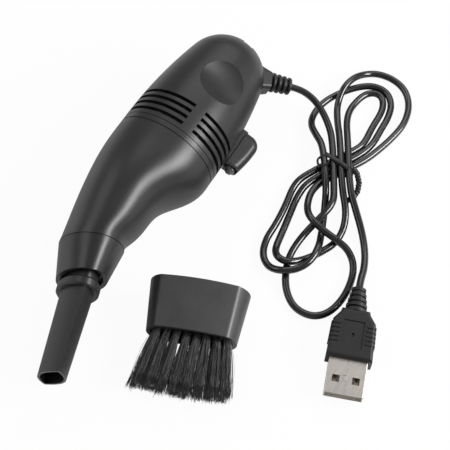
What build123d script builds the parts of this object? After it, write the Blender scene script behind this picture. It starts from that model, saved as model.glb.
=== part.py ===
from build123d import *
import os
from math import asin, atan2, cos, degrees, hypot, pi, radians, sin, sqrt, tan

os.makedirs("parts", exist_ok=True)

# A hand-held USB keyboard vacuum, lying on its flank with its cord in a loose hank,
# and its brush head beside it. Millimetres. +Z is up and z = 0 is the table.
# Body axes: u runs from the cord end to the nozzle, v towards the belly with the lamp,
# w out of the flank with the thumb dish. They are X, Y and Z before the body is laid down.

# How the body lies, and the middle of the layout on the table
BODY_ROLL = 21.0
MIDDLE_X = 27.39
MIDDLE_Y = 20.91
LIFT = 0.015

# Housing: a round cap, then a long flank arc up to the seam
BODY_RADIUS = 17.6
CAP_RADIUS = 14.3
CAP_CENTRE = -23.7
FLANK_TURN = 12.0
SEAM = 10.1
SEAM_GAP = 0.2
WALL = 1.6
LIP_WALL = 1.5
LIP_LENGTH = 3.0
LIP_ROOT = 1.5
LIP_BITE = 0.3
SLIP = 0.1
SEAT = 0.03

# Chamber and nose sections: place along u, centre in v, half width, half height, tilt
CHAMBER_SECTIONS = [
    (20.0, -0.65, 16.85, 17.6, 0.0),
    (29.0, -2.75, 13.75, 17.5, 2.0),
    (38.0, -2.6, 12.0, 17.3, 8.0),
    (46.0, -1.9, 10.7, 17.1, 15.0),
]
CHAMBER_STRAIGHT = 4.0
NOSE_SEAM = (52.9, -1.05, 10.0, 16.9, 22.7)
MOUTH = (63.3, 2.5, 7.6, 16.4, 24.8)
CHAMBER_WALL = 1.5
NOSE_WALL = 1.4
NOSE_LIP = 3.0
NOSE_LIP_WALL = 1.2
NOSE_WEB = 1.2
RING_WIDTH = 2.0
GROOVE = 0.3

# Air slots
SLOT_COUNT = 4
SLOT_START = 0.25
SLOT_PITCH = 2.57
SLOT_WIDTH = 1.25
SLOT_GAP_ANGLES = (-4.4, 8.4)
SLOT_END_ANGLE = 80.0
SLOTS_AT_LAMP = 2
SLOT_END_AT_LAMP = 71.0

# Thumb dish, one on each flank
DISH_PLACE = -15.3
DISH_TURN = 4.5
DISH_DEPTH = 2.3
DISH_RADIUS_ALONG = 14.5
DISH_RADIUS_ACROSS = 60.0

# Motor
MOTOR_RADIUS = 10.0
MOTOR_REAR = -24.5
MOTOR_WALL = 0.8
END_CAP_LENGTH = 2.4
END_CAP_PLUG = 1.0
SHAFT_RADIUS = 1.0
SHAFT_RUN = 0.04
SHAFT_TAIL = 0.8
BUSH_RADIUS = 2.6
BUSH_LENGTH = 2.4
BUSH_HOUSING = 3.3
ARMATURE_RADIUS = 7.0
ARMATURE_START = -17.2
ARMATURE_LENGTH = 10.5
ARMATURE_POLES = 3
POLE_NECK = 3.0
POLE_ARC = 92.0
POLE_SHOE = 1.3
WINDING_WIDTH = 6.4
WINDING_DEPTH = 1.4
WINDING_START = 3.2
WINDING_OVERHANG = 0.8
COMMUTATOR_RADIUS = 2.3
COMMUTATOR_LENGTH = 3.6
COMMUTATOR_GAP = 0.5
MAGNET_INNER = 7.5
MAGNET_ANGLE = 130.0
BRUSH_LENGTH = 2.6
BRUSH_WIDTH = 1.6
BRUSH_RUN = 0.06
TAB_WIDTH = 2.0
TAB_THICKNESS = 0.4
TAB_PLACE = 7.4
TAB_TAIL = 0.7

# Bulkhead and ribs that carry the motor
MOUNT_REAR = -2.6
MOUNT_THICKNESS = 1.6
MOUNT_EDGE = 0.1
MOUNT_LEDGE = 2.4
RIB_THICKNESS = 1.4
CRADLE_PLACES = (-21.9, -11.3)

# Fan
FAN_REAR = -0.4
FAN_RADIUS = 13.0
FAN_PLATE = 0.9
FAN_DEPTH = 6.6
FAN_BLADES = 9
BLADE_THICKNESS = 0.9
BLADE_START = 3.6
BLADE_SWEEP = 24.0
HUB_RADIUS = 3.0
HUB_LENGTH = 5.0
SHROUD_GAP = 0.6
SHROUD_THICKNESS = 1.2
SHROUD_LEDGE = 0.8
EYE_RADIUS = 5.6

# Filter
FILTER_RING = 1.6
FILTER_RIM = 2.4
FILTER_BARS = 2
FILTER_BAR = 1.2
FILTER_DEPTH = 9.0
FILTER_TIP = 6.0
CLOTH = 0.8

# Flat nozzle
NOZZLE_U = 65.1
NOZZLE_V = 2.93
NOZZLE_TILT = 18.8
NOZZLE_LENGTH = 29.3
TUBE_ROOT_HALF = (4.9, 13.95)
TUBE_TIP_HALF = (4.2, 13.9)
TUBE_WALL = 0.8
COLLAR_HALF = (6.4, 14.5)
COLLAR_THICKNESS = 2.8
COLLAR_EDGE = 0.5
SPIGOT_HALF = (5.0, 13.0)
SPIGOT_WALL = 1.0
SPIGOT_LENGTH = 11.0
SOCKET_REAR = 10.4
SOCKET_FRONT = 4.4
SOCKET_WEB = 1.4
SOCKET_WALL = 1.1

# Lamp hood and lamp
HOOD_REAR = -11.2
HOOD_FRONT = 2.0
HOOD_FOOT = 17.9
HOOD_CROWN = [(-11.2, 20.2), (-7.4, 24.0), (2.0, 22.9)]
HOOD_HALF = 4.1
HOOD_EDGE = 2.6
HOOD_NECK = ((-11.0, 1.2), (14.0, 18.2), 3.4)
HOOD_GAP = 0.03
HOOD_MOUTH = (2.45, 0.6)
HOOD_ROOMS = [((-9.9, -3.2), (14.0, 19.4), 2.7), ((-8.9, -3.2), (16.0, 21.0), 2.7)]
LAMP_V = 20.3
LAMP_RADIUS = 1.75
LAMP_FLANGE = 2.05
LAMP_FLANGE_LENGTH = 1.0
LAMP_FRONT = 2.5
LAMP_BACK = -3.2
WIRE_RADIUS = 0.4
WIRE_HOLE = 1.15
WIRE_DROP = -8.3
WIRE_SPACING = 1.1
WIRE_HOLE_W = 2.0
WIRE_RUN = 12.2
WIRE_END = 10.05
WIRE_ANGLES = (40.5, 47.5)
WIRE_WAY = 2.7

# Power switch at the cord end
SWITCH_TRAVEL = 3.4
SWITCH_V = 0.7
SWITCH_OPENING = (3.6, 19.4)
KNOB = (3.0, 15.4)
KNOB_ROUND = 13.0
KNOB_FOOT = -32.6
KNOB_ROOM = 1.1
KNOB_RIBS = 5
KNOB_RIB_PITCH = 1.8
KNOB_GROOVE = 0.6
STEM = (1.8, 2.2)
SWITCH_BOX = (4.4, 8.6, 3.4)
SWITCH_BOX_WALL = 0.6

# Circuit board
BOARD_FRONT = -27.0
BOARD_THICKNESS = 1.0
BOARD_RADIUS = 10.8
BOARD_LEDGE = 0.8
BOARD_CUT = -7.0

# Screws that join the two housing halves, along w
SCREW_PLACES = [(-17.0, 12.35), (-17.0, -12.35), (-5.0, 12.9), (-5.0, -12.9)]
BOSS_RADIUS = 2.0
SCREW_RADIUS = 0.9
SCREW_PLAY = 0.15
SCREW_HEAD_RADIUS = 1.6
SCREW_HEAD = 1.2
SCREW_TOP = 4.6
SCREW_SEAT = -5.4
CROSS_SLOT = (0.4, 2.0, 0.6)

# Strain relief: where its axis meets the cap, and how far it leans to the rear
RELIEF_U = -32.3
RELIEF_V = 11.8
RELIEF_LEAN = 27.0
RELIEF_ROOT = 2.6
RELIEF_FLANGE = (3.0, 1.0)
RELIEF_NECK = 2.3
RELIEF_BOSS = 3.8
RELIEF_BOOT_BASE = (8.5, 8.2)
RELIEF_BOOT_TOP = (6.4, 6.7)
RELIEF_BOOT_SHIFT = 0.5
RELIEF_BOOT_END = 2.5
RELIEF_CORNER = 1.3
RELIEF_RINGS = 4
RELIEF_RING_RADII = (3.4, 3.0)
RELIEF_RING_PITCH = 1.9
RELIEF_RING_WIDTH = 1.15
RELIEF_CORE = 2.1
RELIEF_END = 10.3

# Cord
CORD = 2.4
RUN_SHARE = 0.45

# Hank: two sheets of parallel strands cross under the tie, and loops fan out on both sides
WAIST_X = -21.5
WAIST_Y = 47.0
STRAND_PITCH = 2.95
STRAND_TURN = 30.0
STRAND_HALF = 11.0
SHEET_LOW = 2.35
SHEET_HIGH = 5.45
TABLE = 1.3
OVER_LOOPS = 4.9
# Each loop: side, middle x and y, radius, corners, strand it leaves by, strand it joins,
# and whether it comes back over the loops that lie there
LOOPS = [
    ("nozzle side", 11.1, 49.5, 6.4, 5, 0, 1, False),
    ("cord side", -46.8, 45.3, 8.5, 5, 1, 2, False),
    ("nozzle side", 18.0, 60.0, 9.4, 6, 2, 2, True),
    ("cord side", -50.1, 45.7, 14.3, 6, 2, 1, False),
    ("nozzle side", 12.8, 49.4, 11.4, 6, 1, 0, False),
    ("cord side", -47.2, 44.5, 3.9, 5, 0, 3, False),
]
OVER_STRANDS = 4
UNDER_STRANDS = 3

# Free stretches of the cord: chosen by hand
LEAD_POINTS = [(-39.8, 28.0, 5.6), (-36.2, 33.2, 4.6)]
TAIL_POINTS = [(-8.5, 62.2, 2.0), (-1.0, 67.6, 1.3), (6.8, 71.4, 2.3)]

# Twist tie round the waist of the hank
TIE_WIRE = 0.7
TIE_WIDTH = 1.6
TIE_ROOM = 0.3
TIE_TAIL = [(0.0, 7.6, 3.6), (0.6, 10.2, 2.6), (2.2, 13.0, 1.2)]
TIE_TAIL_RADIUS = 0.6

# Plug: where the cord enters it, and the way it points
PLUG_X = 16.0
PLUG_Y = 75.2
PLUG_Z = 4.0
PLUG_TURN = 19.9
PLUG_RELIEF = 8.6
PLUG_RELIEF_RADII = (2.35, 3.7)
PLUG_RELIEF_CORE = 1.9
PLUG_RELIEF_RINGS = 5
PLUG_RELIEF_RING = 1.0
GRIP_OUTLINE = [(8.4, 4.4), (9.6, 4.7), (12.4, 6.7), (25.0, 7.2)]
GRIP_THICKNESS = 7.8
GRIP_EDGE = 1.1
GRIP_PANEL = (12.5, 21.8, 6.6)
GRIP_PANEL_DEPTH = 0.35
GRIP_DIMPLE = (17.15, 0.6)
GRIP_RIBS = 5
GRIP_RIB = (0.7, 0.3)
GRIP_RIB_START = 13.5
GRIP_RIB_PITCH = 1.45
GRIP_RIB_SIDE = 4.1
SHELL_WIDTH = 12.0
SHELL_HEIGHT = 4.5
SHELL_SHEET = 0.35
SHELL_OUT = 11.2
SHELL_IN = 5.0
SHELL_WINDOW = 2.3
SHELL_WINDOW_PLACE = 30.4
SHELL_WINDOW_SIDE = 3.1
SEAM_WIDTH = 0.18
SEAM_DEPTH = 0.2
SEAM_JOG = (30.2, 32.0, 0.9)
TONGUE_THICKNESS = 1.8
TONGUE_SET_BACK = 0.9
CONTACTS = 4
CONTACT_PITCH = 2.25
CONTACT_SIZE = (7.4, 1.1, 0.15)

# Brush head: the middle of its open rim, and the way its bristles point
BRUSH_X = 43.6
BRUSH_Y = 33.0
BRUSH_TURN = 21.2
BRUSH_LENGTH_CAP = 16.1
BRUSH_RIM_HALF = (16.0, 8.3)
BRUSH_FRONT_HALF = (14.3, 6.9)
BRUSH_WALL = 1.3
BRUSH_CORNER = 2.6
BRUSH_SOCKET = 8.0
BRUSH_WEB = 2.0
BRUSH_AIR_SLOT = (18.0, 3.0)
BLOCK_LENGTH = 4.2
BRISTLE_BED = 0.6
BRISTLE_LENGTH = 18.8
TUFTS = 8
TUFT_PITCH = 3.0
TUFT_ROW = 3.1
TUFT_STAGGER = 0.45
TUFT_STRANDS = 24
TUFT_RADIUS = 0.85
STRAND_SIZE = 0.2
TUFT_SPREAD = 2.1
FAN_OUT = 1.3
FAN_SHIFT = -0.8
ROW_TIP = 2.5
ROW_SINK = 1.6
STRAND_UNEVEN = 0.7


def laid(shape):
    """The body as it lies on the table."""
    return Pos(-MIDDLE_X, -MIDDLE_Y, BODY_RADIUS + LIFT) * Rot(-BODY_ROLL, 0, 0) * shape


def flat(shape):
    """What lies on the table by itself."""
    return Pos(-MIDDLE_X, -MIDDLE_Y, 0) * shape


AXLE = Plane(origin=(0, 0, 0), x_dir=(0, 0, 1), z_dir=(1, 0, 0))


def rod(plane, radius, start, end):
    """A round solid along a plane's normal."""
    bottom = (Align.CENTER, Align.CENTER, Align.MIN)
    return plane.offset(start) * Cylinder(radius, end - start, align=bottom)


def disc(radius, start, end):
    """A round solid about the body's axis."""
    return rod(AXLE, radius, start, end)


def block(along, across, out):
    """A box given by its two ends along u, v and w."""
    low = Vector(along[0], across[0], out[0])
    size = Vector(along[1], across[1], out[1]) - low
    corner = (Align.MIN, Align.MIN, Align.MIN)
    return Pos(low) * Box(size.X, size.Y, size.Z, align=corner)


def both_ways(half):
    return (-half, half)


# Housing

def housing_profile(inset):
    """Half outline of the housing in the u-w plane."""
    turn = radians(FLANK_TURN)
    cap = CAP_RADIUS - inset
    pole = (CAP_CENTRE - cap, 0, 0)
    half = turn + (pi / 2 - turn) / 2
    middle = (CAP_CENTRE - cap * cos(pi / 2 - half), 0, cap * sin(pi / 2 - half))
    meet = (CAP_CENTRE - cap * sin(turn), 0, cap * cos(turn))
    front = (SEAM, 0, BODY_RADIUS - inset)
    edges = [
        ThreePointArc(pole, middle, meet),
        TangentArc(meet, front, tangent=(cos(turn), 0, sin(turn))),
        Line(front, (SEAM, 0, 0)),
        Line((SEAM, 0, 0), pole),
    ]
    return make_face(Wire(edges))


def housing_solid(inset):
    return revolve(housing_profile(inset), Axis.X, 360)


def body_radius(place):
    """Radius of the housing's flank arc at a place along u."""
    turn = radians(FLANK_TURN)
    start = Vector(CAP_CENTRE - CAP_RADIUS * sin(turn), CAP_RADIUS * cos(turn))
    chord = Vector(SEAM, BODY_RADIUS) - start
    lean = turn - atan2(chord.Y, chord.X)
    arc = chord.length / (2 * sin(lean))
    centre = start + Vector(sin(turn), -cos(turn)) * arc
    return centre.Y + sqrt(arc**2 - (place - centre.X) ** 2)


def thumb_dish(grow):
    """The tool shape of the dish on the upper flank."""
    floor = body_radius(DISH_PLACE) - DISH_DEPTH
    far_side = floor + 2 * DISH_RADIUS_ACROSS - DISH_RADIUS_ALONG
    face = Plane.XZ * Pos(DISH_PLACE, far_side) * Circle(DISH_RADIUS_ALONG + grow)
    dish = revolve(face, Axis((0, 0, floor + DISH_RADIUS_ACROSS), (1, 0, 0)), 360)
    return Rot(-DISH_TURN, 0, 0) * dish


def on_both_flanks(shape):
    return [shape, mirror(shape, about=Plane.XY)]


def air_slot(place, start, end):
    """A slot through the wall, between two angles from +w towards +v."""
    radius = body_radius(place)
    face = Plane.XZ * Pos(place, radius - WALL / 2) * Rectangle(SLOT_WIDTH, 3 * WALL)
    return Rot(-end, 0, 0) * revolve(face, Axis.X, end - start)


def air_slots():
    cuts = []
    for row in range(SLOT_COUNT):
        place = SLOT_START + row * SLOT_PITCH
        back_edge, belly_edge = SLOT_GAP_ANGLES
        belly_end = SLOT_END_AT_LAMP if row < SLOTS_AT_LAMP else SLOT_END_ANGLE
        cuts.append(air_slot(place, belly_edge, belly_end))
        cuts.append(air_slot(place, 180 - belly_end, 180 - belly_edge))
        cuts.append(air_slot(place, -SLOT_END_ANGLE, back_edge))
        cuts.append(air_slot(place, 180 - back_edge, 180 + SLOT_END_ANGLE))
    return cuts


def rib(start, thickness, hole):
    """A ring rib on the inside of the housing."""
    return (disc(BODY_RADIUS, start, start + thickness) & housing_solid(WALL / 2)) - disc(
        hole, start - 1, start + thickness + 1
    )


def boss(place):
    full = Plane.XY.offset(-BODY_RADIUS) * Pos(place[0], place[1]) * Cylinder(
        BOSS_RADIUS, 2 * BODY_RADIUS, align=(Align.CENTER, Align.CENTER, Align.MIN)
    )
    return full & housing_solid(WALL / 2)


def screw_axis(place):
    return Plane(origin=(place[0], place[1], 0), z_dir=(0, 0, 1))


def relief_plane():
    lean = radians(RELIEF_LEAN)
    return Plane(origin=(RELIEF_U, RELIEF_V, 0), x_dir=(0, 0, 1), z_dir=(-sin(lean), cos(lean), 0))


def relief_root(room):
    """The relief's flange and neck, or the room for them in the housing."""
    plane = relief_plane()
    radius, thick = RELIEF_FLANGE
    flange = rod(plane, radius + room, -RELIEF_ROOT - room, -RELIEF_ROOT + thick + room)
    neck = rod(plane, RELIEF_NECK + room, -RELIEF_ROOT, 1.0)
    return flange + neck


def housing():
    room = housing_solid(WALL)
    for dish in on_both_flanks(thumb_dish(WALL)):
        room -= dish
    shell = housing_solid(0) - room
    lip_outer = BODY_RADIUS - CHAMBER_WALL - SLIP
    lip = disc(lip_outer, SEAM - 0.01, SEAM + LIP_LENGTH) + disc(lip_outer + LIP_BITE, SEAM - LIP_ROOT, SEAM)
    lip -= disc(lip_outer - LIP_WALL, SEAM - LIP_ROOT - 1, SEAM + LIP_LENGTH + 1)
    shell += lip
    for place in CRADLE_PLACES:
        shell += rib(place, RIB_THICKNESS, MOTOR_RADIUS + SEAT)
    mount_edge = body_radius(MOUNT_REAR) - WALL - MOUNT_LEDGE
    shell += rib(MOUNT_REAR - RIB_THICKNESS - SEAT, RIB_THICKNESS, mount_edge)
    board_edge = BOARD_RADIUS - BOARD_LEDGE
    board_rear = BOARD_FRONT - BOARD_THICKNESS
    shell += rib(board_rear - RIB_THICKNESS - SEAT, RIB_THICKNESS, board_edge)
    shell += rib(BOARD_FRONT + SEAT, RIB_THICKNESS, board_edge)
    for place in SCREW_PLACES:
        shell += boss(place)
    shell += rod(relief_plane(), RELIEF_BOSS, -RELIEF_ROOT, 2.0) & housing_solid(WALL / 2)
    cuts = air_slots() + on_both_flanks(thumb_dish(0))
    cuts.append(relief_root(SEAT))
    half_v, half_w = SWITCH_OPENING[0] / 2, SWITCH_OPENING[1] / 2
    cuts.append(block((-40, KNOB_FOOT + KNOB_ROOM), (SWITCH_V - half_v, SWITCH_V + half_v), both_ways(half_w)))
    cuts.append(wire_way() & housing_solid(WALL))
    drop_hole = Plane.XZ * Pos(WIRE_DROP, WIRE_HOLE_W) * Circle(WIRE_HOLE)
    cuts.append(extrude(drop_hole, amount=-BODY_RADIUS - 1) - disc(BODY_RADIUS / 2, -40, SEAM))
    for cut in cuts:
        shell -= cut
    return shell


def around(radius, angle):
    """The v and w of a point at an angle from +v towards +w."""
    return radius * cos(radians(angle)), radius * sin(radians(angle))


def wire_way():
    """A notch through the ribs for the lamp's leads."""
    v, w = around(WIRE_RUN, sum(WIRE_ANGLES) / 2)
    plane = Plane(origin=(0, v, w), x_dir=(0, 0, 1), z_dir=(1, 0, 0))
    return rod(plane, WIRE_WAY, BOARD_FRONT + SEAT, CRADLE_PLACES[1] + RIB_THICKNESS + 1)


def housing_halves():
    whole = housing()
    upper_box = block((-60, 60), (-40, 40), (0, 40))
    lower_box = block((-60, 60), (-40, 40), (-40, 0))
    upper = whole & upper_box
    lower = whole & lower_box
    for place in SCREW_PLACES:
        axis = screw_axis(place)
        upper -= rod(axis, SCREW_RADIUS + SEAT, -1, SCREW_TOP + 0.5)
        lower -= rod(axis, SCREW_RADIUS + SCREW_PLAY, -BODY_RADIUS, 1)
        lower -= rod(axis, SCREW_HEAD_RADIUS + SCREW_PLAY, -BODY_RADIUS, SCREW_SEAT)
    return upper, lower


def housing_screws():
    screws = []
    for place in SCREW_PLACES:
        axis = screw_axis(place)
        screw = rod(axis, SCREW_HEAD_RADIUS, SCREW_SEAT - SCREW_HEAD, SCREW_SEAT)
        screw += rod(axis, SCREW_RADIUS, SCREW_SEAT - 0.1, SCREW_TOP)
        width, length, depth = CROSS_SLOT
        for turn in (0, 90):
            slot = Box(length, width, 2 * depth)
            screw -= Pos(place[0], place[1], SCREW_SEAT - SCREW_HEAD) * Rot(0, 0, turn) * slot
        screws.append(screw)
    return Compound(screws)


# Chamber, nose and nozzle

def tilted(place, centre, tilt):
    """A plane across the body whose normal leans from u towards v by the tilt."""
    lean = radians(tilt)
    return Plane(origin=(place, centre, 0), x_dir=(0, 0, 1), z_dir=(cos(lean), sin(lean), 0))


def oval(section, inset):
    place, centre, half_width, half_height, tilt = section
    return tilted(place, centre, tilt) * Ellipse(half_height - inset, half_width - inset)


def chamber_solid(inset):
    rear = (SEAM + SEAM_GAP, 0.0, BODY_RADIUS, BODY_RADIUS, 0.0)
    straight = (SEAM + CHAMBER_STRAIGHT, 0.0, BODY_RADIUS, BODY_RADIUS, 0.0)
    return loft([oval(s, inset) for s in [rear, straight] + CHAMBER_SECTIONS + [NOSE_SEAM]])


def nose_solid(inset):
    return loft([oval(s, inset) for s in (NOSE_SEAM, MOUTH)])


def slab(plane, start, end):
    reach = 3 * BODY_RADIUS
    return plane.offset(start) * Box(reach, reach, end - start, align=(Align.CENTER, Align.CENTER, Align.MIN))


def dust_chamber():
    shell = chamber_solid(0) - chamber_solid(CHAMBER_WALL)
    ring_end = SEAM + RING_WIDTH
    ring_groove = disc(BODY_RADIUS + 1, ring_end, ring_end + GROOVE)
    ring_groove -= disc(BODY_RADIUS - GROOVE, ring_end - 1, ring_end + 1)
    return shell - ring_groove


def nose_cone():
    seam = tilted(NOSE_SEAM[0], NOSE_SEAM[1], NOSE_SEAM[4])
    shell = nose_solid(0) - nose_solid(NOSE_WALL)
    lip_outer = CHAMBER_WALL + SLIP
    lip_inner = lip_outer + NOSE_LIP_WALL
    web = (nose_solid(NOSE_WALL / 2) - nose_solid(lip_inner)) & slab(seam, SEAM_GAP, SEAM_GAP + NOSE_WEB)
    lip_end = oval(NOSE_SEAM, lip_outer)
    lip = extrude(lip_end, amount=NOSE_WEB, dir=seam.z_dir)
    lip += chamber_solid(lip_outer) & slab(seam, -NOSE_LIP, 0)
    bore = extrude(oval(NOSE_SEAM, lip_inner), amount=NOSE_WEB + 1, dir=seam.z_dir)
    bore += chamber_solid(lip_inner) & slab(seam, -NOSE_LIP - 1, 0)
    cone = (shell & slab(seam, SEAM_GAP, 2 * NOZZLE_LENGTH)) + web + (lip - bore)
    nozzle = nozzle_plane()
    around = SPIGOT_HALF[0] + SLIP + SOCKET_WALL, SPIGOT_HALF[1] + SLIP + SOCKET_WALL
    tube = extrude(nozzle.offset(-SOCKET_REAR) * Ellipse(around[1], around[0]), amount=SOCKET_REAR - SOCKET_FRONT)
    plate = nose_solid(NOSE_WALL / 2) & slab(nozzle, -SOCKET_FRONT - SOCKET_WEB, -SOCKET_FRONT)
    hole = SPIGOT_HALF[0] + SLIP, SPIGOT_HALF[1] + SLIP
    way = extrude(nozzle.offset(-SOCKET_REAR - 2) * Ellipse(hole[1], hole[0]), amount=SOCKET_REAR)
    return cone + (((tube & nose_solid(NOSE_WALL / 2)) + plate) - way)


def nozzle_plane():
    return tilted(NOZZLE_U, NOZZLE_V, NOZZLE_TILT)


def lens(half, inset):
    """Two arcs that meet in ridges at the top and bottom, inset evenly."""
    width, height = half
    arc = (width**2 + height**2) / (2 * width)
    centre = arc - width
    ridge = sqrt((arc - inset) ** 2 - centre**2)
    side = width - inset
    edges = [
        ThreePointArc((ridge, 0), (0, side), (-ridge, 0)),
        ThreePointArc((-ridge, 0), (0, -side), (ridge, 0)),
    ]
    return make_face(Wire(edges))


def crevice_nozzle():
    plane = nozzle_plane()
    tip = plane.offset(NOZZLE_LENGTH)
    root = plane.offset(COLLAR_THICKNESS)
    tube = loft([root * lens(TUBE_ROOT_HALF, 0), tip * lens(TUBE_TIP_HALF, 0)])
    collar = extrude(plane * Ellipse(COLLAR_HALF[1], COLLAR_HALF[0]), amount=COLLAR_THICKNESS)
    collar = chamfer(collar.edges().filter_by(GeomType.ELLIPSE), COLLAR_EDGE)
    spigot_rear = plane.offset(-SPIGOT_LENGTH)
    spigot = extrude(spigot_rear * Ellipse(SPIGOT_HALF[1], SPIGOT_HALF[0]), amount=SPIGOT_LENGTH)
    inner = SPIGOT_HALF[0] - SPIGOT_WALL, SPIGOT_HALF[1] - SPIGOT_WALL
    spigot_bore = extrude(spigot_rear.offset(-1) * Ellipse(inner[1], inner[0]), amount=SPIGOT_LENGTH + 1.5)
    tube_bore = loft([plane * lens(TUBE_ROOT_HALF, TUBE_WALL), tip.offset(1) * lens(TUBE_TIP_HALF, TUBE_WALL)])
    return (tube + collar + spigot) - spigot_bore - tube_bore


def filter_frame():
    start = SEAM + LIP_LENGTH + SLIP
    outer = BODY_RADIUS - CHAMBER_WALL - SLIP - SEAM_GAP
    frame = disc(outer, start, start + FILTER_RING) - disc(outer - FILTER_RIM, start - 1, start + 5)
    for turn in range(FILTER_BARS):
        bar = block((start, start + FILTER_RING), both_ways(outer - 1), both_ways(FILTER_BAR / 2))
        frame += Rot(180 / FILTER_BARS * turn, 0, 0) * bar
    return frame


def filter_cloth():
    start = SEAM + LIP_LENGTH + SLIP + FILTER_RING
    outer = BODY_RADIUS - CHAMBER_WALL - FILTER_RIM
    base = AXLE.offset(start) * Circle(outer)
    tip = AXLE.offset(start + FILTER_DEPTH) * Circle(FILTER_TIP)
    inner_base = AXLE.offset(start - 0.01) * Circle(outer - CLOTH)
    inner_tip = AXLE.offset(start + FILTER_DEPTH - CLOTH) * Circle(FILTER_TIP - CLOTH)
    return loft([base, tip]) - loft([inner_base, inner_tip])


# Motor and fan

def motor_can():
    front = MOUNT_REAR
    rear = MOTOR_REAR + END_CAP_LENGTH
    can = disc(MOTOR_RADIUS, rear, front) - disc(MOTOR_RADIUS - MOTOR_WALL, rear - 1, front - MOTOR_WALL)
    can += disc(BUSH_HOUSING, front - BUSH_LENGTH, front)
    return can - disc(BUSH_RADIUS + SEAT, front - BUSH_LENGTH - 1, front + 1)


def front_bush():
    bush = disc(BUSH_RADIUS, MOUNT_REAR - BUSH_LENGTH, MOUNT_REAR)
    return bush - disc(SHAFT_RADIUS + SHAFT_RUN, MOUNT_REAR - BUSH_LENGTH - 1, MOUNT_REAR + 1)


def rear_bush():
    bush = disc(BUSH_RADIUS, MOTOR_REAR, MOTOR_REAR + BUSH_LENGTH)
    return bush - disc(SHAFT_RADIUS + SHAFT_RUN, MOTOR_REAR - 1, MOTOR_REAR + BUSH_LENGTH + 1)


def motor_end_cap():
    join = MOTOR_REAR + END_CAP_LENGTH
    cap = disc(MOTOR_RADIUS, MOTOR_REAR, join)
    cap += disc(MOTOR_RADIUS - MOTOR_WALL - SEAT, join, join + END_CAP_PLUG)
    cap -= disc(BUSH_RADIUS + SEAT, MOTOR_REAR - 1, join + END_CAP_PLUG + 1)
    for side in (-1, 1):
        cap -= Rot(90 * (1 - side), 0, 0) * tab(SEAT)
    return cap


def tab(room):
    """A flat terminal through the end cap and the board, on the +w side."""
    rear = BOARD_FRONT - BOARD_THICKNESS - TAB_TAIL
    front = MOTOR_REAR + END_CAP_LENGTH + END_CAP_PLUG + 0.6
    half = TAB_WIDTH / 2 + room
    thick = TAB_THICKNESS / 2 + room
    return block((rear, front), both_ways(half), (TAB_PLACE - thick, TAB_PLACE + thick))


def motor_terminals():
    return Compound([tab(0), Rot(180, 0, 0) * tab(0)])


def commutator_place():
    rear = ARMATURE_START - COMMUTATOR_GAP - COMMUTATOR_LENGTH
    return rear, rear + COMMUTATOR_LENGTH


def motor_brushes():
    """Carbon blocks on leaf arms that reach in from the terminals."""
    rear, front = commutator_place()
    middle = (rear + front) / 2
    foot = COMMUTATOR_RADIUS + BRUSH_RUN
    top = TAB_PLACE - TAB_THICKNESS / 2 - SEAT
    arm_start = MOTOR_REAR + END_CAP_LENGTH + END_CAP_PLUG + SEAT
    carbon = block((middle - 1, middle + 1), both_ways(BRUSH_WIDTH / 2), (foot, foot + BRUSH_LENGTH))
    arm = block((arm_start, middle + 0.6), both_ways(BRUSH_WIDTH / 2), (foot + BRUSH_LENGTH, foot + BRUSH_LENGTH + 0.3))
    riser = block((arm_start, arm_start + 0.3), both_ways(BRUSH_WIDTH / 2), (foot + BRUSH_LENGTH, top))
    one = carbon + arm + riser
    return Compound([one, Rot(180, 0, 0) * one])


def motor_magnets():
    start = ARMATURE_START
    face = Plane.XZ * Pos(start + ARMATURE_LENGTH / 2, (MAGNET_INNER + MOTOR_RADIUS - MOTOR_WALL - SEAT) / 2)
    face *= Rectangle(ARMATURE_LENGTH, MOTOR_RADIUS - MOTOR_WALL - SEAT - MAGNET_INNER)
    arc = Rot(-MAGNET_ANGLE / 2, 0, 0) * revolve(face, Axis.X, MAGNET_ANGLE)
    return Compound([Rot(90, 0, 0) * arc, Rot(-90, 0, 0) * arc])


def rotor_core():
    start, end = ARMATURE_START, ARMATURE_START + ARMATURE_LENGTH
    core = disc(WINDING_START - 0.1, start, end)
    for pole in range(ARMATURE_POLES):
        turn = Rot(360 / ARMATURE_POLES * pole, 0, 0)
        core += turn * block((start, end), both_ways(POLE_NECK / 2), (1.5, ARMATURE_RADIUS - 0.6))
        middle = ARMATURE_RADIUS - POLE_SHOE / 2
        face = Plane.XZ * Pos((start + end) / 2, middle) * Rectangle(end - start, POLE_SHOE)
        shoe = Rot(-POLE_ARC / 2, 0, 0) * revolve(face, Axis.X, POLE_ARC)
        core += turn * shoe
    return core - disc(SHAFT_RADIUS + SEAT, start - 1, end + 1)


def rotor_windings():
    start, end = ARMATURE_START - WINDING_OVERHANG, ARMATURE_START + ARMATURE_LENGTH + WINDING_OVERHANG
    low, high = WINDING_START, WINDING_START + WINDING_DEPTH
    coils = []
    for pole in range(ARMATURE_POLES):
        coil = block((start, end), both_ways(WINDING_WIDTH / 2), (low + SEAT, high))
        neck = POLE_NECK / 2 + SEAT
        inner = block((ARMATURE_START - SEAT, ARMATURE_START + ARMATURE_LENGTH + SEAT), both_ways(neck), (low - 1, high + 1))
        coils.append(Rot(360 / ARMATURE_POLES * pole, 0, 0) * (coil - inner))
    return Compound(coils)


def commutator():
    rear, front = commutator_place()
    drum = disc(COMMUTATOR_RADIUS, rear, front)
    for segment in range(ARMATURE_POLES):
        slot = block((rear - 1, front + 1), both_ways(0.15), (COMMUTATOR_RADIUS - 0.4, COMMUTATOR_RADIUS + 1))
        drum -= Rot(360 / ARMATURE_POLES * segment, 0, 0) * slot
    return drum - disc(SHAFT_RADIUS + SEAT, rear - 1, front + 1)


def motor_shaft():
    return disc(SHAFT_RADIUS, MOTOR_REAR - SHAFT_TAIL, FAN_REAR + HUB_LENGTH)


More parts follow.
